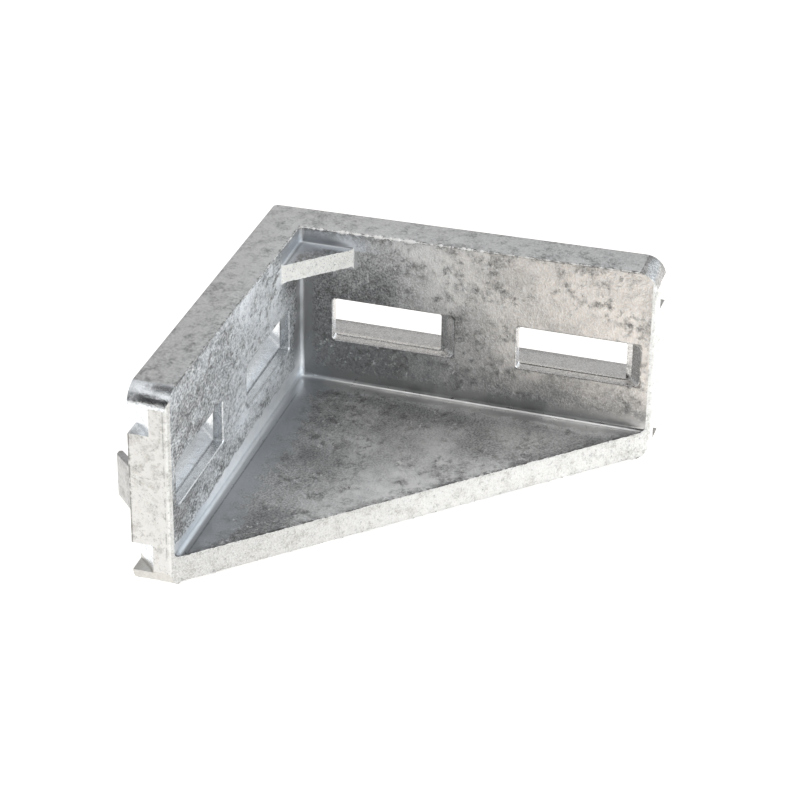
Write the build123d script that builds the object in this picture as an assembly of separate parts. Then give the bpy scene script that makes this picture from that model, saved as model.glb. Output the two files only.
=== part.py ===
from build123d import *
import os

# Die-cast corner bracket that joins two T-slot profiles at a right angle.
#
# The outer corner stands on the Z axis. The leg along +X seats on a profile with
# its y = 0 face, and the leg along +Y with its x = 0 face. A web closes the
# underside between the legs and a small gusset braces the top of the inner corner.
# Both legs are the same, mirrored in the plane x = y. The die opens along that
# plane's diagonal, so slots, notches and noses are drawn along it.
# All sizes are in millimetres and degrees.

# Legs
LEG_LENGTH = 86.0
LEG_THICKNESS = 8.6
CORNER_HEIGHT = 43.6
TOP_DRAFT = 1.05  # the top rises away from the outer corner
LEG_END_RADIUS = 4.3
OUTER_CORNER_RADIUS = 1.0
TRIM_DIAGONAL = 93.8  # x + y on the trimmed face across the web and the leg ends

# Web and gusset
WEB_UNDERSIDE = 1.6
WEB_TOP_AT_CORNER = 7.77
WEB_DRAFT = 0.36  # the floor falls away from the inner corner
GUSSET_DIAGONAL = 29.2  # x + y on the gusset's front face
GUSSET_BOTTOM = 36.25
GUSSET_TOP = 40.15
CORNER_FILLET = 1.2
FLOOR_FILLET = 0.9
GUSSET_FILLET = 0.6

# Bolt slots, two in each leg, measured along the leg from the outer corner
SLOT_MID_HEIGHT = 22.4
SLOT_WIDTH = 8.6
SLOT_SPANS = ((15.9, 39.5), (56.7, 80.0))
SLOT_CORNER_RADIUS = 0.45

# Recess round each slot on the inner side, longer than the slot at its outer end
POCKET_MID_HEIGHT = 22.8
POCKET_WIDTH = 9.8
POCKET_DEPTH = 2.15
POCKET_STEP = 3.3  # from the slot's outer end to the pocket's rim
POCKET_NEAR_RADIUS = 0.65  # corners towards the outer corner
POCKET_FAR_RADIUS = 1.3
POCKET_RIM_RADIUS = 0.35

# Centring noses for the profile's 10 mm groove
NOSE_HEIGHT = 4.2
NOSE_LENGTH = 2.2
NOSE_ROOT_WIDTH = 9.8
NOSE_TIP_WIDTH = 9.1
NOSE_TIP_RADIUS = 0.5
NOSE_POSITIONS = (LEG_LENGTH, 49.0)  # outer end of each root

# Notches in each leg end, above and below the nose
NOTCH_DEPTH = 4.4
NOTCH_SPAN = (12.35, 18.7)  # from the slots' mid height

REACH = 5.0  # how far a cutting tool passes the metal
HEADROOM = 60.0  # above the whole casting
SEAM_SEARCH = 0.75  # how far a sloping seam's middle may lie from its nominal height
TOUCH = 0.05  # how near counts as touching


def plan_prism(points, bottom, top):
    """Upright prism on an outline given in plan."""
    outline = make_face(Polyline(*points, close=True))
    return extrude(Pos(0, 0, bottom) * outline, top - bottom)


def space_above(height, draft):
    """Everything above a plane that starts at height and rises along the diagonal."""
    block = Box(400, 400, HEADROOM, align=(Align.CENTER, Align.CENTER, Align.MIN))
    return Pos(0, 0, height) * Rot(0, 0, 45) * Rot(0, -draft, 0) * block


def across(part):
    """The same feature on the other leg."""
    return mirror(part, about=Plane(origin=(0, 0, 0), z_dir=(1, -1, 0)))


def leg():
    """Leg along +X, with its drafted top and its rounded end."""
    block = Box(LEG_LENGTH, LEG_THICKNESS, HEADROOM, align=(Align.MIN, Align.MIN, Align.MIN))
    block -= space_above(CORNER_HEIGHT, TOP_DRAFT)
    end_edges = block.faces().sort_by(Axis.X)[-1].edges().sort_by(Axis.Z)
    return fillet([end_edges[0], end_edges[-1]], LEG_END_RADIUS)


def inner_triangle(diagonal, bottom, top):
    """Plate that fills the inner corner as far as a line across the diagonal."""
    near = LEG_THICKNESS
    far = diagonal - LEG_THICKNESS
    return plan_prism([(near, near), (far, near), (near, far)], bottom, top)


def on_inner_face(edge):
    """True for an edge that lies in the inner face of either leg."""
    place = edge.center()
    return abs(min(place.X, place.Y) - LEG_THICKNESS) < TOUCH


def wall_seams(body, height):
    """The edges where the web or the gusset meets the inner faces at about this height."""
    return [
        edge
        for edge in body.edges()
        if on_inner_face(edge)
        and abs(edge.center().Z - height) < SEAM_SEARCH
        and abs(edge.tangent_at(0.5).Z) < TOUCH
    ]


def casting():
    """Legs, web and gusset in one piece, with the fillets of the inner corners."""
    web = inner_triangle(TRIM_DIAGONAL, WEB_UNDERSIDE, HEADROOM)
    web -= space_above(WEB_TOP_AT_CORNER, -WEB_DRAFT)
    gusset = inner_triangle(GUSSET_DIAGONAL, GUSSET_BOTTOM, GUSSET_TOP)
    body = leg() + across(leg()) + web + gusset
    corner = Axis((LEG_THICKNESS, LEG_THICKNESS, 0), (0, 0, 1))
    uprights = [
        edge
        for edge in body.edges().filter_by(Axis.Z)
        if corner.is_coaxial(Axis(edge)) and edge.center().Z > WEB_TOP_AT_CORNER
    ]
    body = fillet(uprights, CORNER_FILLET)
    body = fillet(wall_seams(body, GUSSET_TOP), GUSSET_FILLET)
    body = fillet(wall_seams(body, GUSSET_BOTTOM), GUSSET_FILLET)
    return fillet(wall_seams(body, WEB_TOP_AT_CORNER), FLOOR_FILLET)


def trimmed(body):
    """Saws the web and the leg ends off along the diagonal and eases the outer corner."""
    far = TRIM_DIAGONAL + REACH
    offcut = plan_prism([(far, -REACH), (far, far), (-REACH, far)], -REACH, HEADROOM)
    body -= offcut
    uprights = body.edges().filter_by(Axis.Z)
    outer_corner = uprights.sort_by(lambda edge: edge.center().X + edge.center().Y)[0]
    return fillet(outer_corner, OUTER_CORNER_RADIUS)


def level_tool(points, middle, width, near_radius, far_radius):
    """Cutting tool for a slot, rounded at its near corners and then at its far ones."""
    tool = plan_prism(points, middle - width / 2, middle + width / 2)
    for end, radius in ((0, near_radius), (-1, far_radius)):
        through = tool.edges().filter_by(lambda edge: abs(edge.tangent_at(0.5).Y) > TOUCH)
        tool = fillet(through.group_by(Axis.X)[end], radius)
    return tool


def pocket_tool(start, end):
    """Recess: upright towards the corner, drawn along the diagonal at the far end."""
    seat = LEG_THICKNESS - POCKET_DEPTH
    rim = LEG_THICKNESS + REACH
    far = end + POCKET_STEP - POCKET_DEPTH
    points = [(start, seat), (far, seat), (far + rim - seat, rim), (start, rim)]
    return level_tool(
        points, POCKET_MID_HEIGHT, POCKET_WIDTH, POCKET_NEAR_RADIUS, POCKET_FAR_RADIUS
    )


def slot_tool(start, end):
    """Bolt slot: drawn along the diagonal towards the corner, upright at the far end."""
    top = LEG_THICKNESS - POCKET_DEPTH / 2
    lead = POCKET_DEPTH / 2
    drop = top + REACH
    points = [(start + lead, top), (end, top), (end, -REACH), (start + lead - drop, -REACH)]
    return level_tool(
        points, SLOT_MID_HEIGHT, SLOT_WIDTH, SLOT_CORNER_RADIUS, SLOT_CORNER_RADIUS
    )


def notch_tools():
    """Notches of the leg end, above and below the slots' mid height."""
    past = NOTCH_DEPTH + REACH
    points = [
        (LEG_LENGTH - past, -REACH),
        (LEG_LENGTH + REACH, -REACH),
        (LEG_LENGTH + REACH, past),
    ]
    near, far = NOTCH_SPAN
    upper = plan_prism(points, SLOT_MID_HEIGHT + near, SLOT_MID_HEIGHT + far)
    lower = plan_prism(points, SLOT_MID_HEIGHT - far, SLOT_MID_HEIGHT - near)
    return [upper, lower]


def nose(position):
    """Centring nose: a fin that leans along the diagonal, tapered to its tip."""
    tip = position - NOSE_HEIGHT
    plan = plan_prism(
        [
            (tip, -NOSE_HEIGHT),
            (position, 0),
            (position, 1),
            (position - NOSE_LENGTH, 1),
            (position - NOSE_LENGTH, 0),
            (tip - NOSE_LENGTH, -NOSE_HEIGHT),
        ],
        SLOT_MID_HEIGHT - NOSE_ROOT_WIDTH / 2,
        SLOT_MID_HEIGHT + NOSE_ROOT_WIDTH / 2,
    )
    tip_edges = plan.edges().filter_by(Axis.Z).group_by(Axis.Y)[0]
    plan = fillet(tip_edges, NOSE_TIP_RADIUS)
    root, end = NOSE_ROOT_WIDTH / 2, NOSE_TIP_WIDTH / 2
    flank = make_face(
        Plane.YZ * Polyline((1, root), (-NOSE_HEIGHT, end), (-NOSE_HEIGHT, -end), (1, -root), close=True)
    )
    return plan & extrude(Pos(0, 0, SLOT_MID_HEIGHT) * flank, LEG_LENGTH + REACH)


def pocket_rims(body):
    """The edges round the mouths of all the pockets."""

    def round_a_pocket(place):
        if abs(place.Z - POCKET_MID_HEIGHT) > POCKET_WIDTH / 2 + TOUCH:
            return False
        along = max(place.X, place.Y)
        return any(start - TOUCH < along < end + POCKET_STEP + TOUCH for start, end in SLOT_SPANS)

    return [
        edge for edge in body.edges() if on_inner_face(edge) and round_a_pocket(edge.center())
    ]


def bracket():
    """The whole bracket: casting, trimming, slots and notches, then the noses."""
    body = trimmed(casting())
    cuts = notch_tools()
    for start, end in SLOT_SPANS:
        cuts += [pocket_tool(start, end), slot_tool(start, end)]
    for cut in cuts:
        body = body - cut - across(cut)
    body = fillet(pocket_rims(body), POCKET_RIM_RADIUS)
    for position in NOSE_POSITIONS:
        body = body + nose(position) + across(nose(position))
    return body


def main():
    os.makedirs("parts", exist_ok=True)
    export_step(bracket(), "parts/corner_bracket.step")


main()
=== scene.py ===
import math

import bmesh
import bpy
from bpy.props import FloatProperty, FloatVectorProperty, IntProperty, PointerProperty
from mathutils import Matrix, Vector


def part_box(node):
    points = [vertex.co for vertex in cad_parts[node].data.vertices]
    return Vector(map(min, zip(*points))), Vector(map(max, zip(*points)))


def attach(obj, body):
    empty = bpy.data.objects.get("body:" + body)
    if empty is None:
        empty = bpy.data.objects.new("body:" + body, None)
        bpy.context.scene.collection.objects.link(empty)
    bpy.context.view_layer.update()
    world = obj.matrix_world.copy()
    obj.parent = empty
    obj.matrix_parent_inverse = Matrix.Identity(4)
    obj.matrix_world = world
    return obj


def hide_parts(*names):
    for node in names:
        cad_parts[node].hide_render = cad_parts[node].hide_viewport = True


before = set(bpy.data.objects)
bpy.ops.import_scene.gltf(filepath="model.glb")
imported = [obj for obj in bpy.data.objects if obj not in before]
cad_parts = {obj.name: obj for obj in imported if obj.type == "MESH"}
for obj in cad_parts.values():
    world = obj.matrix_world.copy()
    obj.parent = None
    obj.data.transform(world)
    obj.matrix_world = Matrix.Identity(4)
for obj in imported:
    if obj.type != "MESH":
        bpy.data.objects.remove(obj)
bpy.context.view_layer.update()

bl_info = {
    "name": "T-Slot Corner Bracket",
    "version": (1, 0, 0),
    "blender": (4, 5, 0),
    "location": "3D View > Sidebar > Bracket",
    "description": "Dresses a die-cast corner bracket: cast skin, trimmed faces, burrs and stage",
    "category": "Object",
}

NODE = "corner_bracket"
BODY = "root"
MM = 0.001

LOW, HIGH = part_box(NODE)
CENTRE = (LOW + HIGH) / 2

# The bracket's own measures, in millimetres from its outer corner at the underside.
# Left names the leg along X and right the leg along Y, as the camera sees them.
LEG = HIGH.x / MM
TALLEST = HIGH.z / MM
WALL = 8.6
TRIM = 93.8  # x + y on the trimmed face
CORNER_TOP = 43.6
TOP_RISE = math.tan(math.radians(1.05)) / math.sqrt(2)  # per millimetre of x + y
FLOOR_AT_CORNER = 7.77
FLOOR_FALL = math.tan(math.radians(0.36)) / math.sqrt(2)  # per millimetre of x + y
WEB_UNDERSIDE = 1.6
GUSSET_FRONT = 29.2  # x + y on its front face
GUSSET_LOW, GUSSET_HIGH = 36.25, 40.15
RIM_MID, RIM_HALF = 22.8, 4.9  # heights of the slots' rims on the inner walls
RIM_SPANS = ((15.9, 42.8), (56.7, 83.3))  # along the leg
RECESS_SEAT = 6.45  # depth of the ledge between a slot and its recess, from the outer face

WHITE = (1.0, 1.0, 1.0)


def top_height(x, y):
    """Height of the legs' top at a place in plan, in millimetres."""
    return CORNER_TOP + TOP_RISE * (x + y)


# ---------------------------------------------------------------- settings


def colour(name, description, default):
    return FloatVectorProperty(
        name=name, description=description, default=default, subtype="COLOR", size=3, min=0, max=1
    )


def thickness(name, description, default):
    return FloatProperty(
        name=name, description=description, default=default, unit="LENGTH", min=0, max=0.002
    )


def share(name, description, default):
    return FloatProperty(
        name=name, description=description, default=default, subtype="FACTOR", min=0, max=1
    )


class BracketSkinSettings(bpy.types.PropertyGroup):
    """Colours and sizes of the cast and trimmed surfaces."""

    edge_round: thickness("Edge Rounding", "Radius of the broken edges", 0.00018)
    metal: colour("Metal", "Clean cast aluminium", (0.93, 0.925, 0.915))
    # painted reflection: a warm tint far along the right leg, where the wall mirrors the table
    warm_reflection: colour("Warm Metal", "Clean metal far along the right leg", (0.97, 0.92, 0.87))
    # part polished metal, part painted highlight: the near-white foot of the left wall
    seam: colour("Seam", "Smoother metal beside the left seam", (1.0, 1.0, 0.995))
    # painted light: a cool tint on the left leg's metal
    cool_light_tint: colour("Cool Metal", "Clean metal on the left leg", (0.91, 0.93, 0.955))
    patina: colour("Patina", "Patina that gathers towards the inner corner", (0.32, 0.32, 0.32))
    corner_patina: colour("Corner Patina", "Bluish patina above the gusset", (0.72, 0.75, 0.79))
    calm: colour("Calm Patina", "Smoother patina beside the left seam", (0.50, 0.52, 0.545))
    stains: colour("Stains", "Soft stains in the cast skin", (0.26, 0.255, 0.25))
    blots: colour("Blots", "Darkest blots in the patina", (0.16, 0.155, 0.15))
    flecks: colour("Flecks", "Light flecks between the blots", (0.95, 0.95, 0.94))
    # painted shade: the dark lines under the lip, on the floor's brink, round the slot rims and
    # along the recess ledges; it also darkens other edge lines
    grime_and_shade: colour("Grime", "Dark lines along edges and rims", (0.05, 0.048, 0.045))
    blasted: colour("Blasted", "Evenly blasted tops and outer faces", (0.86, 0.86, 0.855))
    trimmed: colour("Trimmed Face", "Fresh metal where it is trimmed", (0.79, 0.78, 0.76))
    # painted light: the brightest trimmed metal, for the faces that should look most lit
    lit_trim: colour("Bright Trim", "Brightest trimmed metal, as on the gusset", (1.0, 0.99, 0.965))
    torn: colour("Torn Metal", "Duller patches of the trimmed faces", (0.62, 0.605, 0.57))
    # painted light: one smooth skin, a lit bluish copy for the left leg and a shaded greyer copy
    # for the right
    lit_slot_skin: colour("Left Slots", "Smooth skin of slots and notches", (0.86, 0.89, 0.92))
    shaded_slot_skin: colour("Right Slots", "Greyer skin on the right leg", (0.76, 0.75, 0.74))
    # painted shade: darker tones for the shaded recesses round the slots
    recess: colour("Left Recesses", "Skin of the recess round each slot", (0.60, 0.605, 0.61))
    stepped: colour("Right Recesses", "The same on the right leg", (0.62, 0.61, 0.60))
    blot_amount: share("Blot Amount", "How dark the blots are", 0.68)


class BracketBurrSettings(bpy.types.PropertyGroup):
    """Sizes of the ragged burrs along the casting's edges."""

    lip_radius: thickness("Lip Radius", "Burr under the legs' inner top edges", 0.00062)
    trim_radius: thickness("Trim Radius", "Burrs along the other trimmed edges", 0.00016)
    gate_radius: thickness("Gate Radius", "Torn line under the web's trimmed face", 0.00022)
    gap: share("Gap", "Share of each burr that is broken away", 0.35)
    seed: IntProperty(name="Seed", description="Which ragged outline is drawn", default=3, min=0)
    # painted highlight: near-white, so that the burrs show as bright glints
    metal: colour("Burr Metal", "Bright torn metal", (1.0, 0.995, 0.98))
    grime_and_shade: colour("Burr Grime", "Dark patches caught on the burrs", (0.16, 0.15, 0.14))


class BracketStageSettings(bpy.types.PropertyGroup):
    """Lights and floor."""

    top_power: FloatProperty(
        name="Top Light", description="Power of the overhead light",
        default=1.0, unit="POWER", min=0,
    )
    softbox: FloatProperty(
        name="Softbox", description="Brightness of the large softbox on the right",
        default=2.3, min=0, max=4,
    )
    fill_power: FloatProperty(
        name="Fill Light", description="Power of the broad light beside the camera",
        default=3.2, unit="POWER", min=0,
    )
    floor_colour: colour("Floor", "Colour of the table", (0.8, 0.8, 0.8))


# ---------------------------------------------------------------- node helpers


class Nodes:
    """Adds nodes to a tree and links them."""

    def __init__(self, tree):
        self.tree = tree
        self.tree.nodes.clear()

    def node(self, kind, inputs=None, **settings):
        made = self.tree.nodes.new(kind)
        for key, value in settings.items():
            setattr(made, key, value)
        for key, value in (inputs or {}).items():
            self.feed(made.inputs[key], value)
        return made

    def feed(self, socket, value):
        if isinstance(value, bpy.types.NodeSocket):
            self.tree.links.new(value, socket)
        elif socket.type == "RGBA":
            socket.default_value = (*value, 1.0)
        else:
            socket.default_value = value

    def math(self, operation, *values, clamp=False):
        made = self.node("ShaderNodeMath", operation=operation, use_clamp=clamp)
        for socket, value in zip(made.inputs, values):
            self.feed(socket, value)
        return made.outputs[0]

    def chain(self, operation, first, *others):
        """The same operation over any number of values."""
        for value in others:
            first = self.math(operation, first, value)
        return first

    def times(self, *values):
        return self.chain("MULTIPLY", *values)

    def most(self, *values):
        return self.chain("MAXIMUM", *values)

    def least(self, *values):
        return self.chain("MINIMUM", *values)

    def plus(self, a, b, clamp=False):
        return self.math("ADD", a, b, clamp=clamp)

    def minus(self, a, b):
        return self.math("SUBTRACT", a, b)

    def apart(self, a, b):
        """How far two values are from each other."""
        return self.math("ABSOLUTE", self.minus(a, b))

    def ramp(self, value, low, high, start=0.0, end=1.0):
        """Smooth step from start to end as value goes from low to high."""
        made = self.node(
            "ShaderNodeMapRange",
            {"Value": value, "From Min": low, "From Max": high, "To Min": start, "To Max": end},
            interpolation_type="SMOOTHSTEP",
        )
        return made.outputs["Result"]

    def fade(self, value, low, high, amount=1.0):
        """The whole amount up to low, and nothing beyond high."""
        return self.ramp(value, low, high, amount, 0.0)

    def line(self, value, level, core, edge, amount=1.0):
        """A soft line where value crosses a level: full within core, gone beyond edge."""
        return self.fade(self.apart(value, level), core, edge, amount)

    def vector(self, operation, inputs):
        return self.node("ShaderNodeVectorMath", inputs, operation=operation).outputs[0]

    def length(self, place):
        made = self.node("ShaderNodeVectorMath", {0: place}, operation="LENGTH")
        return made.outputs["Value"]


class Sheet(Nodes):
    """The shader nodes of one material."""

    def __init__(self, name):
        self.material = bpy.data.materials.new(name)
        self.material.use_nodes = True
        super().__init__(self.material.node_tree)

    def place(self):
        """Object coordinates in millimetres."""
        coords = self.node("ShaderNodeTexCoord").outputs["Object"]
        return self.vector("SCALE", {0: coords, "Scale": 1 / MM})

    def split(self, place):
        """The x, y and z of a place."""
        parts = self.node("ShaderNodeSeparateXYZ", {0: place}).outputs
        return parts["X"], parts["Y"], parts["Z"]

    def join(self, x, y, z):
        return self.node("ShaderNodeCombineXYZ", {0: x, 1: y, 2: z}).outputs[0]

    def noise(self, place, scale, detail, roughness, distortion=0.0):
        """Noise about 0.5, with scale in cells per millimetre."""
        made = self.node(
            "ShaderNodeTexNoise",
            {"Vector": place, "Scale": scale, "Detail": detail, "Roughness": roughness,
             "Distortion": distortion},
        )
        return made.outputs["Fac"]

    def blend(self, factor, a, b):
        """A value between two others."""
        return self.node("ShaderNodeMix", {0: factor, 2: a, 3: b}, data_type="FLOAT").outputs[0]

    def mix(self, factor, a, b, blend="MIX"):
        """A colour between two others."""
        made = self.node("ShaderNodeMix", data_type="RGBA", blend_type=blend)
        self.feed(made.inputs["Factor"], factor)
        self.feed(made.inputs["A"], a)
        self.feed(made.inputs["B"], b)
        return made.outputs["Result"]

    def speckle(self, amount, tone, grain, half_width, contrast):
        """Light and dark grain laid over a tone, at its full contrast half_width from 0.5."""
        level = self.ramp(
            grain, 0.5 - half_width, 0.5 + half_width, 0.5 - contrast, 0.5 + contrast
        )
        grey = self.node("ShaderNodeCombineColor")
        for socket in grey.inputs[:3]:
            self.feed(socket, level)
        return self.mix(amount, tone, grey.outputs[0], "OVERLAY")

    def bump(self, height, distance, strength):
        inputs = {"Height": height, "Distance": distance, "Strength": strength}
        return self.node("ShaderNodeBump", inputs).outputs[0]

    def finish(self, **inputs):
        """The metal shader and its output."""
        shader = self.node("ShaderNodeBsdfPrincipled")
        for key, value in inputs.items():
            self.feed(shader.inputs[key.replace("_", " ")], value)
        self.node("ShaderNodeOutputMaterial", {"Surface": shader.outputs[0]})
        return self.material


# ---------------------------------------------------------------- materials

# Where the cast skin's zones fade in or out, in millimetres. A span runs along the left leg.
OFF_SURFACE = (0.5, 1.2)  # from a wall or the floor, where its own zone ends
BAND_BESIDE_SEAMS = (1.8, 4.0)  # polished metal, from the seam
BAND_ON_LEFT_WALL = (2.1, 2.8)
BAND_ROUND_GUSSET = (0.4, 1.2)  # from the gusset's outline on a wall
WIDER_BAND_HEIGHT = (20.0, 24.0)  # under this the left wall's band is wider
WIDER_BAND_SPAN = (35.0, 80.0)
FOOT_HEIGHT = (11.0, 17.0)  # under this the left wall is brightest, a painted highlight beside its polished seam
FOOT_SPAN = (52.0, 78.0)
DIM_SPAN = (62.0, 86.0)  # where painted shade makes the left seam's band duller
WARM_SPAN = (15.0, 60.0)  # painted warm reflection of the table, from the left wall
WARM_HEIGHT = (8.0, 12.0)
CALM_FLOOR = (4.0, 9.0)  # smoother patina, from the left wall
CORNER_TOP_REACH = 8.0  # the zone above the gusset, past its front face
GROOVE_FROM_WALL = 1.7  # a dark line on the floor beside the left seam
GROOVE_SPAN = (14.0, 20.0)

LEFT_STRETCH = 0.7  # scale along the left leg, which draws the patterns out
WANDER = 0.5  # millimetres by which the zones' outlines wander


class InnerCorner:
    """Where a point of the cast skin lies, measured from the bracket's inner corner."""

    def __init__(self, sheet, x, y, z):
        self.sheet = sheet
        self.z = z
        self.sum = sheet.plus(x, y)
        self.from_right = sheet.minus(x, WALL)
        self.from_left = sheet.minus(y, WALL)
        self.low = sheet.least(self.from_right, self.from_left)
        self.high = sheet.most(self.from_right, self.from_left)
        fall = sheet.times(self.sum, FLOOR_FALL)
        self.above_floor = sheet.plus(sheet.minus(z, FLOOR_AT_CORNER), fall)
        self.on_left = sheet.fade(self.from_left, *OFF_SURFACE)
        self.on_floor = sheet.fade(self.above_floor, *OFF_SURFACE)

    def seam(self):
        """Distance to the nearest seam between two inner faces."""
        return self.sheet.most(self.low, self.sheet.least(self.high, self.above_floor))

    def reach(self):
        """Distance from the corner itself."""
        sheet = self.sheet
        return sheet.length(sheet.join(self.from_right, self.from_left, self.above_floor))

    def outside(self, level, level_half, beyond):
        """Distance in a wall from a box of some height that ends where beyond is zero."""
        sheet = self.sheet
        off = sheet.most(sheet.minus(sheet.apart(self.z, level), level_half), 0.0)
        return sheet.length(sheet.join(off, sheet.most(beyond, 0.0), 0.0))

    def gusset(self):
        """Distance from a point on an inner wall to the gusset's outline on that wall."""
        level, half = (GUSSET_LOW + GUSSET_HIGH) / 2, (GUSSET_HIGH - GUSSET_LOW) / 2
        return self.outside(level, half, self.sheet.minus(self.sum, GUSSET_FRONT))

    def slots(self):
        """Distance from a point on an inner wall to the nearest slot's rim on that wall."""
        sheet = self.sheet
        rims = []
        for start, end in RIM_SPANS:
            middle, half = (start + end) / 2 - WALL, (end - start) / 2
            beyond = sheet.minus(sheet.apart(self.high, middle), half)
            rims.append(self.outside(RIM_MID, RIM_HALF, beyond))
        return sheet.least(*rims)

    def below_top(self):
        """Depth under the legs' top face."""
        top = self.sheet.plus(self.sheet.times(self.sum, TOP_RISE), CORNER_TOP)
        return self.sheet.minus(top, self.z)

    def patina(self):
        """How much patina there is: most beside the corner, on the floor and low on the walls."""
        sheet = self.sheet
        right = sheet.ramp(self.reach(), 18.0, 50.0, 1.15, 0.0)
        near = sheet.ramp(self.from_right, 2.0, 14.0, 0.8, 0.15)
        far = sheet.ramp(self.from_right, 25.0, 80.0, 0.15, 0.8)
        low_down = sheet.times(
            sheet.fade(self.above_floor, 2.0, 14.0), sheet.blend(self.on_left, 0.85, 0.6)
        )
        walls = sheet.most(sheet.blend(self.on_left, right, sheet.most(near, far)), low_down)
        floor = sheet.most(
            sheet.ramp(self.from_left, 2.0, 36.0, 0.95, 0.1),
            sheet.ramp(self.from_right, 2.0, 36.0, 0.7, 0.1),
        )
        floor = sheet.times(floor, sheet.ramp(self.from_right, 2.5, 6.5, 0.3, 1.0))
        return sheet.blend(self.on_floor, walls, floor)


class CastSkin:
    """Die-cast skin: patina gathers towards the inner corner, and the seams are polished."""

    def __init__(self, skin):
        self.skin = skin
        self.sheet = sheet = Sheet("cast_skin")
        self.x, y, self.z = sheet.split(sheet.place())
        self.corner = corner = InnerCorner(sheet, self.x, y, self.z)

        drawn = sheet.times(self.x, sheet.blend(corner.on_left, 1.0, LEFT_STRETCH))
        place = sheet.join(drawn, y, self.z)
        self.clouds = sheet.noise(place, 0.09, detail=3, roughness=0.55)
        self.clusters = sheet.noise(place, 0.15, detail=3, roughness=0.6, distortion=0.3)
        self.stains = sheet.noise(place, 0.24, detail=6, roughness=0.68, distortion=0.2)
        self.mottle = sheet.noise(place, 0.6, detail=6, roughness=0.70, distortion=0.2)
        self.streaks = sheet.noise(place, 0.9, detail=6, roughness=0.72, distortion=0.5)
        self.grain = sheet.noise(place, 2.4, detail=4, roughness=0.62)
        self.ragged = sheet.noise(place, 0.8, detail=6, roughness=0.72)
        wander = sheet.noise(place, 0.35, detail=3, roughness=0.5)
        self.wobble = sheet.ramp(wander, 0.3, 0.7, -WANDER, WANDER)

        over_gusset = sheet.ramp(self.z, GUSSET_HIGH - 0.6, GUSSET_HIGH)
        self.band = self.polished_bands(over_gusset)
        self.rough_only = sheet.minus(1.0, self.band)
        # the left wall's foot, painted brighter as a highlight beside its polished seam
        self.foot = sheet.times(
            corner.on_left, sheet.fade(self.z, *FOOT_HEIGHT),
            sheet.ramp(self.x, *FOOT_SPAN, 1.0, 0.35),
        )
        self.corner_top = sheet.times(
            over_gusset, sheet.fade(corner.sum, GUSSET_FRONT, GUSSET_FRONT + CORNER_TOP_REACH)
        )
        clustered = sheet.ramp(self.clusters, 0.42, 0.62, 0.1, 1.0)
        about_corner = sheet.fade(corner.reach(), 22.0, 46.0, 0.2)
        self.spread = sheet.times(
            sheet.plus(clustered, about_corner, clamp=True), self.rough_only
        )
        wandering = sheet.plus(corner.from_left, sheet.times(self.wobble, 4.0))
        self.calm = sheet.times(sheet.fade(wandering, *CALM_FLOOR, 0.8), corner.on_floor)

    def polished_bands(self, over_gusset):
        """Beside the seams, on top of the gusset and round its outline."""
        sheet, corner = self.sheet, self.corner
        wider = sheet.times(
            sheet.fade(self.z, *WIDER_BAND_HEIGHT),
            sheet.ramp(self.x, *WIDER_BAND_SPAN, 1.9, 0.2),
        )
        seam = sheet.plus(corner.seam(), self.wobble)
        seam = sheet.minus(seam, sheet.times(wider, corner.on_left))
        beside = sheet.blend(
            corner.on_left,
            sheet.fade(seam, *BAND_BESIDE_SEAMS),
            sheet.fade(seam, *BAND_ON_LEFT_WALL),
        )
        on_gusset = sheet.fade(corner.sum, GUSSET_FRONT - 1.0, GUSSET_FRONT + 1.0)
        round_gusset = sheet.fade(corner.gusset(), *BAND_ROUND_GUSSET)
        return sheet.most(beside, sheet.times(over_gusset, on_gusset), round_gusset)

    def metal_and_patina(self):
        """The tone below all marks."""
        sheet, corner, skin = self.sheet, self.corner, self.skin
        drift = sheet.ramp(self.clouds, 0.38, 0.62, -0.18, 0.22)
        gathered = sheet.plus(corner.patina(), drift, clamp=True)
        # the polished bands keep less patina; at the left wall's foot this is also painted
        # highlight
        polished = sheet.times(self.band, sheet.blend(self.foot, 0.1, 0.9))
        gathered = sheet.times(gathered, sheet.minus(1.0, polished))
        gathered = sheet.most(gathered, sheet.times(self.corner_top, 0.9))

        # painted reflection: the right wall far along its leg is tinted warm like the table it
        # mirrors; the left leg gets a painted cool tint of its light
        warm_reflection = sheet.times(
            sheet.ramp(corner.from_left, *WARM_SPAN), sheet.ramp(self.z, *WARM_HEIGHT)
        )
        clean = sheet.mix(warm_reflection, skin.metal, skin.warm_reflection)
        clean = sheet.mix(corner.on_left, clean, skin.cool_light_tint)
        # painted highlight: the left wall's foot turns to near-white metal
        smoother = sheet.times(self.foot, sheet.ramp(self.stains, 0.42, 0.6, 0.35, 1.0))
        clean = sheet.mix(smoother, clean, skin.seam)

        above_gusset = sheet.times(self.corner_top, sheet.blend(corner.on_left, 1.0, 0.25))
        dull = sheet.mix(above_gusset, skin.patina, skin.corner_patina)
        return sheet.mix(gathered, clean, dull)

    def add_marks(self, tone):
        """Soft stains, light flecks, dark blots and thin veins, gathered in clusters."""
        sheet, skin = self.sheet, self.skin
        wide = sheet.times(sheet.most(self.spread, 0.2), self.rough_only)
        soft = sheet.times(sheet.ramp(self.stains, 0.47, 0.60, 0.0, 0.5), wide)
        tone = sheet.mix(soft, tone, skin.stains)
        light = sheet.times(sheet.ramp(self.streaks, 0.54, 0.66, 0.0, 0.8), self.spread)
        tone = sheet.mix(light, tone, skin.flecks)
        blots = sheet.times(sheet.ramp(self.mottle, 0.50, 0.64), self.spread, skin.blot_amount)
        tone = sheet.mix(blots, tone, skin.blots)
        veins = sheet.times(
            sheet.line(self.ragged, 0.5, 0.0, 0.03), sheet.ramp(self.mottle, 0.42, 0.56),
            self.rough_only, sheet.blend(self.corner.on_left, 0.2, 0.8),
        )
        return sheet.mix(veins, tone, skin.blots)

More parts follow.
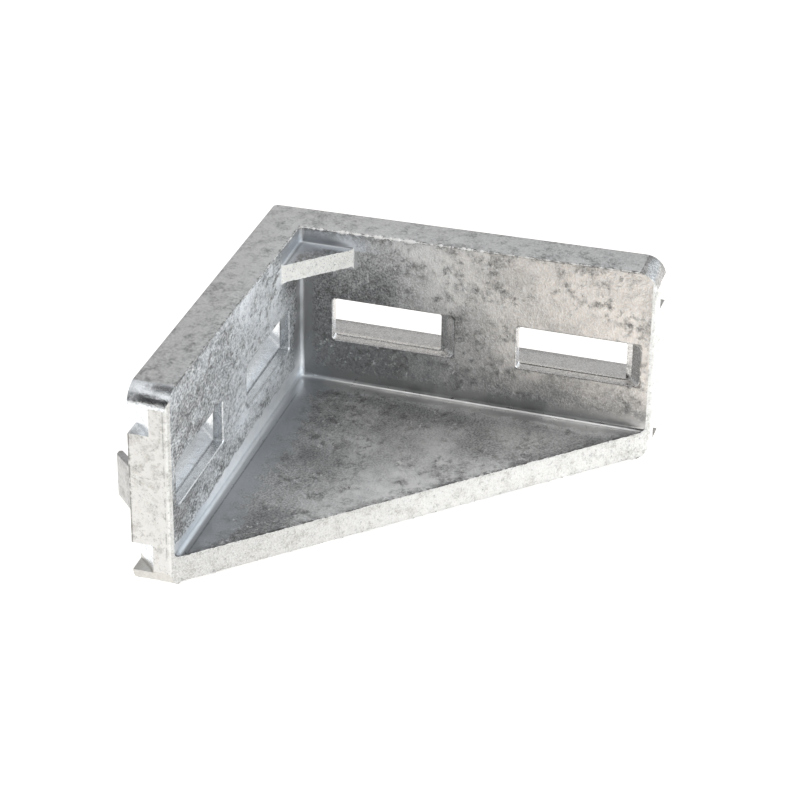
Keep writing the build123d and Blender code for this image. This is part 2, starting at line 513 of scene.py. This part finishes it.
    def add_calm(self, tone):
        """Smoother bluish patina on the floor beside the left seam, and painted shade in that
        colour at the seam's end.
        """
        sheet, skin = self.sheet, self.skin
        tone = sheet.mix(self.calm, tone, skin.calm)
        # painted shade: the left seam's band is darkened towards the leg's end
        dim = sheet.times(
            self.corner.on_left, self.band, sheet.ramp(self.x, *DIM_SPAN, 0.0, 0.6)
        )
        return sheet.mix(dim, tone, skin.calm)

    def add_grain(self, tone):
        """Light and dark grain, strongest on the left wall."""
        sheet, corner = self.sheet, self.corner
        amount = sheet.blend(corner.on_left, sheet.ramp(self.z, 10.0, 32.0, 0.22, 0.46), 0.68)
        amount = sheet.most(amount, sheet.ramp(corner.low, 1.5, 3.0, 0.0, 0.4))
        amount = sheet.times(amount, sheet.minus(1.0, self.calm))
        worked = sheet.most(self.rough_only, sheet.times(self.foot, 0.45))
        return sheet.speckle(
            sheet.times(worked, amount), tone, self.grain, half_width=0.16, contrast=0.45
        )

    def add_dark_over_gusset(self, tone):
        """Darker tone on the gusset and along the top edge above it."""
        sheet, corner = self.sheet, self.corner
        on_gusset = sheet.times(
            sheet.ramp(corner.sum, 21.0, 27.0), sheet.ramp(corner.low, 1.0, 2.0)
        )
        under_top = sheet.fade(corner.below_top(), 0.3, 3.2, 0.8)
        darker_over_gusset = sheet.times(
            sheet.most(on_gusset, under_top), self.corner_top,
            sheet.ramp(self.streaks, 0.40, 0.56, 0.2, 0.85),
        )
        return sheet.mix(darker_over_gusset, tone, self.skin.stains)

    def add_lines(self, tone):
        """Ragged dark lines of painted shade under the lip, on the floor's brink and round the
        slots, and a dark line in the seam.
        """
        sheet, corner = self.sheet, self.corner
        # painted shadow of the lip burr on the wall just below the top edge
        lip = sheet.fade(corner.below_top(), 0.2, 0.55)
        # painted shadow on the floor along the web's trimmed brink
        from_trim = sheet.minus(TRIM, corner.sum)
        brink = sheet.times(
            sheet.most(sheet.fade(from_trim, 0.4, 1.2), sheet.fade(from_trim, 0.5, 3.5, 0.5)),
            corner.on_floor,
        )
        # painted shade round the slots' rims
        rims = sheet.fade(corner.slots(), 0.1, 0.5, 0.7)
        edges = sheet.times(sheet.most(lip, brink, rims), sheet.ramp(self.ragged, 0.42, 0.54))
        groove = sheet.times(
            sheet.line(corner.from_left, GROOVE_FROM_WALL, 0.08, 0.25, 0.5), corner.on_floor,
            sheet.ramp(self.x, *GROOVE_SPAN), sheet.ramp(self.ragged, 0.3, 0.5),
        )
        amount = sheet.times(sheet.most(edges, groove), 0.85)
        return sheet.mix(amount, tone, self.skin.grime_and_shade)

    def relief(self):
        """Shallow relief, quieter on the right wall and in the polished bands."""
        sheet = self.sheet
        height = sheet.plus(sheet.times(self.mottle, 0.6), sheet.times(self.grain, 0.4))
        quiet = sheet.most(sheet.times(self.band, sheet.blend(self.foot, 0.9, 0.5)), self.calm)
        vivid = sheet.blend(self.corner.on_left, 0.45, 1.0)
        return sheet.bump(height, 1.0 * MM, sheet.times(sheet.minus(1.0, quiet), vivid))

    def material(self):
        sheet = self.sheet
        tone = self.metal_and_patina()
        for add in (
            self.add_marks, self.add_calm, self.add_grain, self.add_dark_over_gusset, self.add_lines
        ):
            tone = add(tone)
        smoother = sheet.times(self.band, sheet.blend(self.corner.on_left, -0.2, -0.06))
        rough = sheet.plus(smoother, sheet.ramp(self.mottle, 0.35, 0.65, 0.47, 0.58))
        return sheet.finish(
            Base_Color=tone, Metallic=1.0, Roughness=rough, Normal=self.relief()
        )


def cast_skin(skin):
    """Skin of the inner walls, the floor and the gusset."""
    return CastSkin(skin).material()


def blasted_skin(skin):
    """Evenly blasted skin of the tops, undersides, outer faces and noses."""
    sheet = Sheet("blasted_skin")
    place = sheet.place()
    x, y, _ = sheet.split(place)
    clouds = sheet.noise(place, 0.3, detail=6, roughness=0.7)
    grain = sheet.noise(place, 1.6, detail=4, roughness=0.7)
    ragged = sheet.noise(place, 0.9, detail=5, roughness=0.7)
    depth = sheet.least(x, y)

    far_out = sheet.ramp(sheet.plus(x, y), 20.0, 80.0, 0.0, 0.12)
    dull = sheet.plus(sheet.ramp(clouds, 0.42, 0.70, 0.0, 0.6), far_out)
    tone = sheet.mix(dull, skin.blasted, skin.patina)
    tone = sheet.speckle(0.7, tone, grain, half_width=0.16, contrast=0.3)
    outer_face = sheet.fade(depth, 0.05, 0.3, 0.35)
    tone = sheet.mix(outer_face, tone, skin.patina)
    inner_edge = sheet.ramp(depth, WALL - 0.5, WALL - 0.2, 0.0, 0.8)
    inner_edge = sheet.times(inner_edge, sheet.ramp(ragged, 0.5, 0.6))
    tone = sheet.mix(inner_edge, tone, skin.grime_and_shade)

    rough = sheet.ramp(clouds, 0.3, 0.7, 0.38, 0.48)
    normal = sheet.bump(grain, 0.3 * MM, 1.0)
    return sheet.finish(Base_Color=tone, Metallic=1.0, Roughness=rough, Normal=normal)


def smooth_skin(skin):
    """Bright smooth skin of the slots, notches and rounded ends."""
    sheet = Sheet("smooth_skin")
    place = sheet.place()
    x, y, z = sheet.split(place)
    clouds = sheet.noise(place, 0.6, detail=5, roughness=0.65)
    grain = sheet.noise(place, 2.0, detail=4, roughness=0.65)
    depth = sheet.least(x, y)
    on_right = sheet.ramp(sheet.minus(y, x), -1.0, 1.0)

    # painted light: lit bluish skin on the left leg, shaded greyer skin on the right
    tone = sheet.mix(on_right, skin.lit_slot_skin, skin.shaded_slot_skin)
    tone = sheet.mix(sheet.ramp(clouds, 0.48, 0.72, 0.0, 0.3), tone, skin.patina)

    in_slot = sheet.times(
        sheet.math("LESS_THAN", sheet.apart(z, RIM_MID), RIM_HALF + 0.2),
        sheet.math("GREATER_THAN", depth, 1.0),
    )
    # painted shade: the recess round each slot, past the ledge, is darkened
    recess = sheet.times(sheet.ramp(depth, RECESS_SEAT, RECESS_SEAT + 0.2), in_slot, 0.6)
    tone = sheet.mix(recess, tone, sheet.mix(on_right, skin.recess, skin.stepped))
    # painted shade: a dark line along the ledge inside each slot
    ledge = sheet.times(
        sheet.line(depth, RECESS_SEAT, 0.08, 0.3), in_slot, sheet.blend(on_right, 0.45, 0.1)
    )
    tone = sheet.mix(ledge, tone, skin.grime_and_shade)

    top_end = sheet.times(on_right, sheet.ramp(z, 38.0, 39.0, 0.0, 0.75))
    tone = sheet.mix(top_end, tone, skin.patina)
    bottom_end = sheet.fade(z, 4.5, 5.0, 0.85)
    tone = sheet.mix(bottom_end, tone, skin.torn)
    amount = sheet.blend(on_right, 0.15, 0.4)
    tone = sheet.speckle(amount, tone, grain, half_width=0.14, contrast=0.4)

    rough = sheet.plus(sheet.ramp(clouds, 0.3, 0.7, 0.2, 0.3), sheet.times(bottom_end, 0.25))
    normal = sheet.bump(clouds, 0.16 * MM, 0.7)
    return sheet.finish(Base_Color=tone, Metallic=1.0, Roughness=rough, Normal=normal)


def trimmed_metal(skin):
    """Fresh pale metal of the trimmed faces, slightly torn and speckled."""
    sheet = Sheet("trimmed_metal")
    place = sheet.place()
    x, y, _ = sheet.split(place)
    clouds = sheet.noise(place, 0.4, detail=6, roughness=0.65)
    grain = sheet.noise(place, 2.6, detail=5, roughness=0.75)
    pits = sheet.noise(place, 1.1, detail=6, roughness=0.85)
    depth = sheet.least(x, y)
    gusset = sheet.fade(sheet.plus(x, y), GUSSET_FRONT + 1.0, GUSSET_FRONT + 2.0)
    leg_end = sheet.ramp(sheet.most(x, y), LEG - 0.4, LEG - 0.2)

    # painted light on the gusset front and the leg ends; the web's face also grows brighter
    # towards the right leg
    brighter_trim = sheet.most(gusset, leg_end, sheet.ramp(y, 10.0, 60.0, 0.0, 0.6))
    tone = sheet.mix(brighter_trim, skin.trimmed, skin.lit_trim)
    # the gusset keeps fewer dull patches and pits, part of its painted light
    worn = sheet.times(sheet.ramp(clouds, 0.46, 0.66), sheet.blend(gusset, 0.6, 0.1))
    tone = sheet.mix(worn, tone, skin.torn)
    tone = sheet.speckle(0.6, tone, grain, half_width=0.14, contrast=0.45)
    pitted = sheet.times(sheet.ramp(pits, 0.52, 0.66, 0.0, 0.5), sheet.blend(gusset, 1.0, 0.5))
    tone = sheet.mix(pitted, tone, skin.blots)
    specks = sheet.times(sheet.ramp(grain, 0.58, 0.66, 0.0, 0.6), gusset)
    tone = sheet.mix(specks, tone, skin.blots)

    ridge = sheet.line(depth, WALL - 1.3, 0.05, 0.2, 0.3)
    outline = sheet.times(sheet.most(ridge, sheet.fade(depth, 0.15, 0.4, 0.6)), leg_end)
    outline = sheet.times(outline, sheet.ramp(clouds, 0.40, 0.5))
    tone = sheet.mix(outline, tone, skin.grime_and_shade)

    rough = sheet.blend(gusset, 0.5, 0.92)
    normal = sheet.bump(sheet.plus(clouds, grain), 0.5 * MM, 1.0)
    return sheet.finish(Base_Color=tone, Metallic=1.0, Roughness=rough, Normal=normal)


def burr_glint_metal(burrs):
    """Pale torn metal of the burrs, painted near white as their highlight."""
    sheet = Sheet("burr_glint_metal")
    patches = sheet.noise(sheet.place(), 1.2, detail=4, roughness=0.7)
    tone = sheet.mix(sheet.ramp(patches, 0.54, 0.66), burrs.metal, burrs.grime_and_shade)
    rough = sheet.ramp(patches, 0.3, 0.7, 0.3, 0.45)
    normal = sheet.bump(patches, 0.1 * MM, 0.6)
    # mostly matt, so that the lamps light the near-white colour as a painted highlight
    return sheet.finish(Base_Color=tone, Metallic=0.1, Roughness=rough, Normal=normal)


# ---------------------------------------------------------------- casting

MERGE_DISTANCE = 0.002 * MM
FLAT_WITHIN = math.radians(0.3)
BEVEL_FROM = math.radians(35)
BEVEL_SEGMENTS = 2
ON_SURFACE = 0.05  # millimetres within which a corner lies on a surface
ON_INNER_WALL = 0.02
ABOUT = 0.1  # a looser tolerance, in millimetres or as the slope of a normal

CAST, BLASTED, SMOOTH, TRIMMED = range(4)  # the order of the casting's materials


def add_object(name, data):
    made = bpy.data.objects.new(name, data)
    bpy.context.collection.objects.link(made)
    return made


def clean_copy(node, name):
    """The CAD node's mesh as a new merged object with flat faces made whole."""
    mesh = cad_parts[node].data.copy()
    mesh.name = name
    mesh.materials.clear()
    shape = bmesh.new()
    shape.from_mesh(mesh)
    bmesh.ops.remove_doubles(shape, verts=shape.verts, dist=MERGE_DISTANCE)
    bmesh.ops.dissolve_limit(
        shape, angle_limit=FLAT_WITHIN, use_dissolve_boundaries=False,
        verts=shape.verts, edges=shape.edges,
    )
    shape.to_mesh(mesh)
    shape.free()
    return add_object(name, mesh)


def finish_of(face):
    """Which of the four finishes a face of the casting has."""
    corners = [vertex.co / MM for vertex in face.verts]
    sums = [corner.x + corner.y for corner in corners]
    depths = [min(corner.x, corner.y) for corner in corners]
    reaches = [max(corner.x, corner.y) for corner in corners]
    below_top = [top_height(corner.x, corner.y) - corner.z for corner in corners]

    def all_near(values, target):
        return all(abs(value - target) < ON_SURFACE for value in values)

    if all_near(sums, TRIM) or all_near(sums, GUSSET_FRONT):
        return TRIMMED
    if all_near(reaches, LEG) and abs(face.normal.z) < ABOUT:
        return TRIMMED
    if all_near(below_top, 0.0):
        return BLASTED
    if max(corner.z for corner in corners) < WEB_UNDERSIDE + ABOUT:
        return BLASTED
    if min(depths) > WALL - ON_INNER_WALL:
        return CAST
    if max(depths) < ON_SURFACE:
        return BLASTED
    return SMOOTH


class OBJECT_OT_bracket_casting(bpy.types.Operator):
    """Dress the bracket's casting in its skins"""

    bl_idname = "object.bracket_casting"
    bl_label = "Bracket Casting"

    def execute(self, context):
        skin = context.scene.bracket_skin
        piece = clean_copy(NODE, "bracket_casting")
        for make in (cast_skin, blasted_skin, smooth_skin, trimmed_metal):
            piece.data.materials.append(make(skin))
        shape = bmesh.new()
        shape.from_mesh(piece.data)
        for face in shape.faces:
            face.material_index = finish_of(face)
            face.smooth = True
        shape.to_mesh(piece.data)
        shape.free()
        bevel = piece.modifiers.new("edge_rounding", "BEVEL")
        bevel.width = skin.edge_round
        bevel.segments = BEVEL_SEGMENTS
        bevel.limit_method = "ANGLE"
        bevel.angle_limit = BEVEL_FROM
        bevel.harden_normals = True
        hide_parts(NODE)
        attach(piece, BODY)
        return {"FINISHED"}


# ---------------------------------------------------------------- burrs

BURR_STEP = 0.22 * MM  # between the points along a burr
BURR_RAGGEDNESS = 900.0  # noise cells per metre
BURR_SIDES = 6
THREAD = 0.15  # share of its radius that a broken burr keeps
TAPERED = 0.3  # share of its radius that a burr keeps past its taper
GAP_BASE, GAP_GAIN = 0.3, 0.4  # from the gap setting to the noise level of a bare edge
GAP_SOFTNESS = 0.2  # from the level of a bare edge to that of a whole burr
SWELL_SEED_STEP = 7.5  # keeps the swelling's noise apart from the wandering's

# Where a burr thins out, in metres from the outer corner
NO_TAPER = (1.0, 2.0)  # beyond the whole bracket
LIP_TAPER_RIGHT = (0.046, 0.08)
LIP_TAPER_LEFT = (0.046, 0.09)
LEFT_LIP_SHARE = 0.3  # of the right lip burr's radius

# Places that tell the casting's edges apart, in millimetres
NEAR_WALL = 0.5  # past an inner wall
WEB_MIDDLE = 3.0  # height between the web's underside and its floor
OVER_FLOOR = 20.0  # height between the floor and the gusset


def burr_tree():
    """Geometry Nodes: a ragged bead that follows the edges it is given."""
    tree = bpy.data.node_groups.new("ragged_burr", "GeometryNodeTree")
    sockets = {
        "Edges": "Geometry", "Step": "Float", "Bead Radius": "Float", "Wander": "Float",
        "Shift": "Vector", "Raggedness": "Float", "Gap": "Float", "Seed": "Float",
        "Taper Start": "Float", "Taper End": "Float", "Material": "Material",
    }
    for name, kind in sockets.items():
        tree.interface.new_socket(name, in_out="INPUT", socket_type="NodeSocket" + kind)
    tree.interface.new_socket("Burr", in_out="OUTPUT", socket_type="NodeSocketGeometry")

    nodes = Nodes(tree)
    given = nodes.node("NodeGroupInput").outputs
    place = nodes.node("GeometryNodeInputPosition").outputs[0]

    def noise(seed, output, **details):
        inputs = {"Vector": place, "W": seed, "Scale": given["Raggedness"], **details}
        made = nodes.node("ShaderNodeTexNoise", inputs, noise_dimensions="4D")
        return made.outputs[output]

    curve = nodes.node("GeometryNodeMeshToCurve", {"Mesh": given["Edges"]})
    points = nodes.node(
        "GeometryNodeResampleCurve", {"Curve": curve.outputs[0], "Length": given["Step"]},
        mode="LENGTH",
    )
    drift = noise(given["Seed"], "Color", Detail=3.0)
    centred = nodes.vector("SUBTRACT", {0: drift, 1: (0.5, 0.5, 0.5)})
    sway = nodes.vector("SCALE", {0: centred, "Scale": given["Wander"]})
    offset = nodes.vector("ADD", {0: sway, 1: given["Shift"]})
    moved = nodes.node(
        "GeometryNodeSetPosition", {"Geometry": points.outputs[0], "Offset": offset}
    )

    swell = noise(nodes.plus(given["Seed"], SWELL_SEED_STEP), "Fac", Detail=4.0, Roughness=0.65)
    bare = nodes.plus(nodes.times(given["Gap"], GAP_GAIN), GAP_BASE)
    whole_bead = nodes.plus(bare, GAP_SOFTNESS)
    swelling = nodes.ramp(swell, bare, whole_bead, THREAD, 1.0)
    taper = nodes.ramp(
        nodes.length(place), given["Taper Start"], given["Taper End"], 1.0, TAPERED
    )
    thick = nodes.times(swelling, taper)
    ring = nodes.node(
        "GeometryNodeCurvePrimitiveCircle",
        {"Resolution": BURR_SIDES, "Radius": given["Bead Radius"]},
    )
    bead = nodes.node(
        "GeometryNodeCurveToMesh",
        {"Curve": moved.outputs[0], "Profile Curve": ring.outputs[0], "Scale": thick,
         "Fill Caps": True},
    )
    real = nodes.node("GeometryNodeRealizeInstances", {"Geometry": bead.outputs[0]})
    dressed = nodes.node(
        "GeometryNodeSetMaterial", {"Geometry": real.outputs[0], "Material": given["Material"]}
    )
    nodes.node("NodeGroupOutput", {"Burr": dressed.outputs[0]})
    return tree


def edges_between(first, second, keep):
    """A mesh of the casting's edges where two finishes meet, those that keep() lets through."""
    source = clean_copy(NODE, "edge_source")
    shape = bmesh.new()
    shape.from_mesh(source.data)
    picked = []
    for edge in shape.edges:
        if len(edge.link_faces) != 2:
            continue
        finishes = {finish_of(face) for face in edge.link_faces}
        if finishes == {first, second} and keep([vertex.co / MM for vertex in edge.verts]):
            picked.append([tuple(vertex.co) for vertex in edge.verts])
    shape.free()
    mesh = source.data
    bpy.data.objects.remove(source)
    bpy.data.meshes.remove(mesh)
    corners, pairs = {}, []
    for ends in picked:
        pairs.append(tuple(corners.setdefault(end, len(corners)) for end in ends))
    edges = bpy.data.meshes.new("edges")
    edges.from_pydata(list(corners), pairs, [])
    return edges


def inner_top_edge(across):
    """Keeps a leg's inner top edge. Across is the leg's thin axis: 0 right, 1 left."""
    return lambda ends: all(
        end.z > CORNER_TOP - ABOUT and end[across] < WALL + NEAR_WALL for end in ends
    )


def trimmed_edge(total, low=0.0, high=TALLEST):
    """Keeps the edges of the trimmed face at some x + y, between two heights."""
    return lambda ends: all(
        abs(end.x + end.y - total) < ABOUT and low < end.z < high for end in ends
    )


def grow(name, edges, tree, inputs):
    """Run the burr tree on some edges and keep the result as a plain mesh."""
    if not edges.edges:
        raise RuntimeError("no edge for " + name)
    piece = add_object(name, edges)
    maker = piece.modifiers.new(name, "NODES")
    maker.node_group = tree
    for item in tree.interface.items_tree:
        if item.in_out == "INPUT" and item.name in inputs:
            maker[item.identifier] = inputs[item.name]
    evaluated = piece.evaluated_get(bpy.context.evaluated_depsgraph_get())
    mesh = bpy.data.meshes.new_from_object(evaluated)
    mesh.name = name
    piece.modifiers.clear()
    piece.data = mesh
    for polygon in mesh.polygons:
        polygon.use_smooth = True
    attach(piece, BODY)
    return piece


class OBJECT_OT_bracket_burrs(bpy.types.Operator):
    """Grow the ragged burrs along the inner top edges and around the trimmed faces"""

    bl_idname = "object.bracket_burrs"
    bl_label = "Bracket Burrs"

    def execute(self, context):
        burrs = context.scene.bracket_burrs
        tree = burr_tree()
        metal = burr_glint_metal(burrs)

        def burr(name, finishes, keep, radius, wander, shift, taper=NO_TAPER):
            """Radius is in metres, wander and shift are in millimetres."""
            grow(name, edges_between(*finishes, keep), tree, {
                "Step": BURR_STEP, "Raggedness": BURR_RAGGEDNESS, "Gap": burrs.gap,
                "Seed": float(burrs.seed), "Bead Radius": radius, "Wander": wander * MM,
                "Shift": tuple(part * MM for part in shift),
                "Taper Start": taper[0], "Taper End": taper[1], "Material": metal,
            })

        burr(
            "lip_burr_right", (BLASTED, CAST), inner_top_edge(0),
            radius=burrs.lip_radius, wander=0.16, shift=(0.08, 0.0, -0.1),
            taper=LIP_TAPER_RIGHT,
        )
        burr(
            "lip_burr_left", (BLASTED, CAST), inner_top_edge(1),
            radius=burrs.lip_radius * LEFT_LIP_SHARE, wander=0.14, shift=(0.0, 0.04, -0.1),
            taper=LIP_TAPER_LEFT,
        )
        burr(
            "trim_burr", (TRIMMED, CAST), trimmed_edge(TRIM, WEB_MIDDLE, OVER_FLOOR),
            radius=burrs.trim_radius, wander=0.2, shift=(0.0, 0.0, 0.05),
        )
        burr(
            "gate_burr", (TRIMMED, BLASTED), trimmed_edge(TRIM, high=WEB_MIDDLE),
            radius=burrs.gate_radius, wander=0.3, shift=(0.0, 0.0, 0.1),
        )
        burr(
            "gusset_burr", (TRIMMED, CAST), trimmed_edge(GUSSET_FRONT),
            radius=burrs.trim_radius, wander=0.16, shift=(0.0, 0.0, 0.0),
        )
        return {"FINISHED"}


# ---------------------------------------------------------------- stage

# Distances are in metres, angles in degrees
FLOOR_REACH = 3.0
FLOOR_GLOW, FLOOR_GLOW_STRENGTH = (1.0, 0.97, 0.925), 0.72
WORLD_AS_LIGHT, WORLD_AS_SEEN = 0.6, 1.0

LAMP_SIZE = 0.9
TOP_LIGHT_PLACE = Vector((0.3, 0.1, 1.2))
FILL_LIGHT_PLACE = Vector((1.1, 0.45, 0.65))

CARD_DISTANCE = 1.2
CARD_STEPS = 24
CARD_HEIGHT, LOW_CARD_HEIGHT, TALL_CARD_HEIGHT = 1.33, 0.75, 1.6
DAYLIGHT = (0.90, 0.955, 1.0)
CEILING_CENTRE = Vector((-0.55, 0.05, 1.9))
CEILING_HALF_WIDTH = 0.95
CEILING_SHADE = 0.15

CAMERA_PLACE = Vector((543.3, 193.4, 325.9)) * MM
CAMERA_HEADING = 196.88  # from +X, seen from above
CAMERA_PITCH = -29.83
CAMERA_ROLL = 0.643
CAMERA_LENS = 134.37  # millimetres
CAMERA_SENSOR = 36.0
CAMERA_CLIP = (0.01, 20.0)


def seen_directly(nodes):
    """1 for camera, glossy and transmission rays."""
    rays = nodes.node("ShaderNodeLightPath").outputs
    return nodes.most(rays["Is Camera Ray"], rays["Is Glossy Ray"], rays["Is Transmission Ray"])


def make_floor(stage):
    """A table that shows white and lights the bracket like grey paper."""
    reach = FLOOR_REACH
    mesh = bpy.data.meshes.new("table")
    mesh.from_pydata(
        [(-reach, -reach, 0), (reach, -reach, 0), (reach, reach, 0), (-reach, reach, 0)],
        [], [(0, 1, 2, 3)],
    )
    table = add_object("table", mesh)
    sheet = Sheet("table_white")
    matt = sheet.node("ShaderNodeBsdfDiffuse", {"Color": stage.floor_colour})
    glow = sheet.node(
        "ShaderNodeEmission", {"Color": FLOOR_GLOW, "Strength": FLOOR_GLOW_STRENGTH}
    )
    lit = sheet.node("ShaderNodeAddShader", {0: matt.outputs[0], 1: glow.outputs[0]})
    mixed = sheet.node(
        "ShaderNodeMixShader", {0: seen_directly(sheet), 1: matt.outputs[0], 2: lit.outputs[0]}
    )
    sheet.node("ShaderNodeOutputMaterial", {"Surface": mixed.outputs[0]})
    mesh.materials.append(sheet.material)


def make_world():
    """A white background that gives less light than it shows."""
    world = bpy.data.worlds.new("studio")
    bpy.context.scene.world = world
    world.use_nodes = True
    nodes = Nodes(world.node_tree)
    light, backdrop = (
        nodes.node("ShaderNodeBackground", {"Color": WHITE, "Strength": strength})
        for strength in (WORLD_AS_LIGHT, WORLD_AS_SEEN)
    )
    mixed = nodes.node(
        "ShaderNodeMixShader",
        {0: seen_directly(nodes), 1: light.outputs[0], 2: backdrop.outputs[0]},
    )
    nodes.node("ShaderNodeOutputWorld", {"Surface": mixed.outputs[0]})


def area_light(name, place, power):
    """A round lamp aimed at the bracket, left out of its reflections."""
    data = bpy.data.lights.new(name, "AREA")
    data.shape = "DISK"
    data.size = LAMP_SIZE
    data.energy = power
    lamp = add_object(name, data)
    lamp.location = place
    lamp.rotation_mode = "QUATERNION"
    lamp.rotation_quaternion = (CENTRE - place).to_track_quat("-Z", "Y")
    lamp.visible_glossy = False


def make_card(name, corners, faces, shade, tint):
    """A glowing card that only reflections see."""
    mesh = bpy.data.meshes.new(name)
    mesh.from_pydata(corners, [], faces)
    sheet = Sheet(name + "_paper")
    glow = sheet.node("ShaderNodeEmission", {"Color": tint, "Strength": shade})
    sheet.node("ShaderNodeOutputMaterial", {"Surface": glow.outputs[0]})
    mesh.materials.append(sheet.material)
    card = add_object(name, mesh)
    card.visible_camera = False
    card.visible_diffuse = False
    card.visible_shadow = False


def standing_card(name, heading, half_span, shade, height=CARD_HEIGHT, tint=WHITE):
    """An upright card curved round the bracket, with heading and half span in degrees."""
    corners, faces = [], []
    for step in range(CARD_STEPS + 1):
        angle = math.radians(heading + half_span * (2 * step / CARD_STEPS - 1))
        for level in (0.0, height):
            corners.append((
                CENTRE.x + CARD_DISTANCE * math.cos(angle),
                CENTRE.y + CARD_DISTANCE * math.sin(angle),
                level,
            ))
    for step in range(CARD_STEPS):
        first = 2 * step
        faces.append((first, first + 1, first + 3, first + 2))
    make_card(name, corners, faces, shade, tint)


def ceiling_card():
    """A level card overhead."""
    corners = [
        CEILING_CENTRE + CEILING_HALF_WIDTH * Vector((side, end, 0))
        for side, end in ((-1, -1), (1, -1), (1, 1), (-1, 1))
    ]
    make_card("ceiling_card", corners, [(0, 1, 2, 3)], CEILING_SHADE, WHITE)


def make_lights(stage):
    """Two lamps that light the bracket, and the cards that it mirrors."""
    area_light("top_light", TOP_LIGHT_PLACE, stage.top_power)
    area_light("fill_light", FILL_LIGHT_PLACE, stage.fill_power)
    standing_card("front_card", heading=-5.0, half_span=45.0, shade=0.03)
    standing_card(
        "softbox_right", heading=85.0, half_span=45.0, shade=stage.softbox, tint=DAYLIGHT
    )
    standing_card(
        "softbox_back", heading=152.0, half_span=22.0, shade=1.3,
        height=LOW_CARD_HEIGHT, tint=DAYLIGHT,
    )
    standing_card(
        "back_card", heading=197.0, half_span=23.0, shade=0.55, height=TALL_CARD_HEIGHT
    )
    standing_card("left_card", heading=265.0, half_span=45.0, shade=0.65)
    ceiling_card()


def make_camera():
    """A long lens above and in front of the bracket, turned and rolled to one exact view."""
    heading = math.radians(CAMERA_HEADING)
    pitch = math.radians(CAMERA_PITCH)
    roll = math.radians(CAMERA_ROLL)
    ahead = Vector((
        math.cos(pitch) * math.cos(heading), math.cos(pitch) * math.sin(heading), math.sin(pitch)
    ))
    level_right = ahead.cross(Vector((0, 0, 1))).normalized()
    level_up = level_right.cross(ahead)
    right = level_right * math.cos(roll) + level_up * math.sin(roll)
    up = level_up * math.cos(roll) - level_right * math.sin(roll)
    data = bpy.data.cameras.new("camera")
    data.sensor_width = CAMERA_SENSOR
    data.lens = CAMERA_LENS
    data.clip_start, data.clip_end = CAMERA_CLIP
    camera = add_object("camera", data)
    turn = Matrix((right, up, -ahead)).transposed()
    camera.matrix_world = Matrix.Translation(CAMERA_PLACE) @ turn.to_4x4()
    bpy.context.scene.camera = camera


class OBJECT_OT_bracket_stage(bpy.types.Operator):
    """Set the table, the lights and the camera"""

    bl_idname = "object.bracket_stage"
    bl_label = "Bracket Stage"

    def execute(self, context):
        stage = context.scene.bracket_stage
        make_floor(stage)
        make_world()
        make_lights(stage)
        make_camera()
        context.scene.view_settings.view_transform = "Standard"
        return {"FINISHED"}


# ---------------------------------------------------------------- panel and registration


class VIEW3D_PT_bracket(bpy.types.Panel):
    """Lists the bracket's pieces and their settings"""

    bl_idname = "VIEW3D_PT_bracket"
    bl_label = "Corner Bracket"
    bl_space_type = "VIEW_3D"
    bl_region_type = "UI"
    bl_category = "Bracket"

    def draw(self, context):
        scene = context.scene
        for settings, operator in (
            (scene.bracket_skin, OBJECT_OT_bracket_casting.bl_idname),
            (scene.bracket_burrs, OBJECT_OT_bracket_burrs.bl_idname),
            (scene.bracket_stage, OBJECT_OT_bracket_stage.bl_idname),
        ):
            box = self.layout.box()
            for key in settings.bl_rna.properties.keys():
                if key not in {"rna_type", "name"}:
                    box.prop(settings, key)
            box.operator(operator)


CLASSES = (
    BracketSkinSettings,
    BracketBurrSettings,
    BracketStageSettings,
    OBJECT_OT_bracket_casting,
    OBJECT_OT_bracket_burrs,
    OBJECT_OT_bracket_stage,
    VIEW3D_PT_bracket,
)


def register():
    for item in CLASSES:
        bpy.utils.register_class(item)
    bpy.types.Scene.bracket_skin = PointerProperty(type=BracketSkinSettings)
    bpy.types.Scene.bracket_burrs = PointerProperty(type=BracketBurrSettings)
    bpy.types.Scene.bracket_stage = PointerProperty(type=BracketStageSettings)


def unregister():
    del bpy.types.Scene.bracket_stage
    del bpy.types.Scene.bracket_burrs
    del bpy.types.Scene.bracket_skin
    for item in reversed(CLASSES):
        bpy.utils.unregister_class(item)


def main():
    register()
    bpy.ops.object.bracket_casting()
    bpy.ops.object.bracket_burrs()
    bpy.ops.object.bracket_stage()


if __name__ == "__main__":
    main()
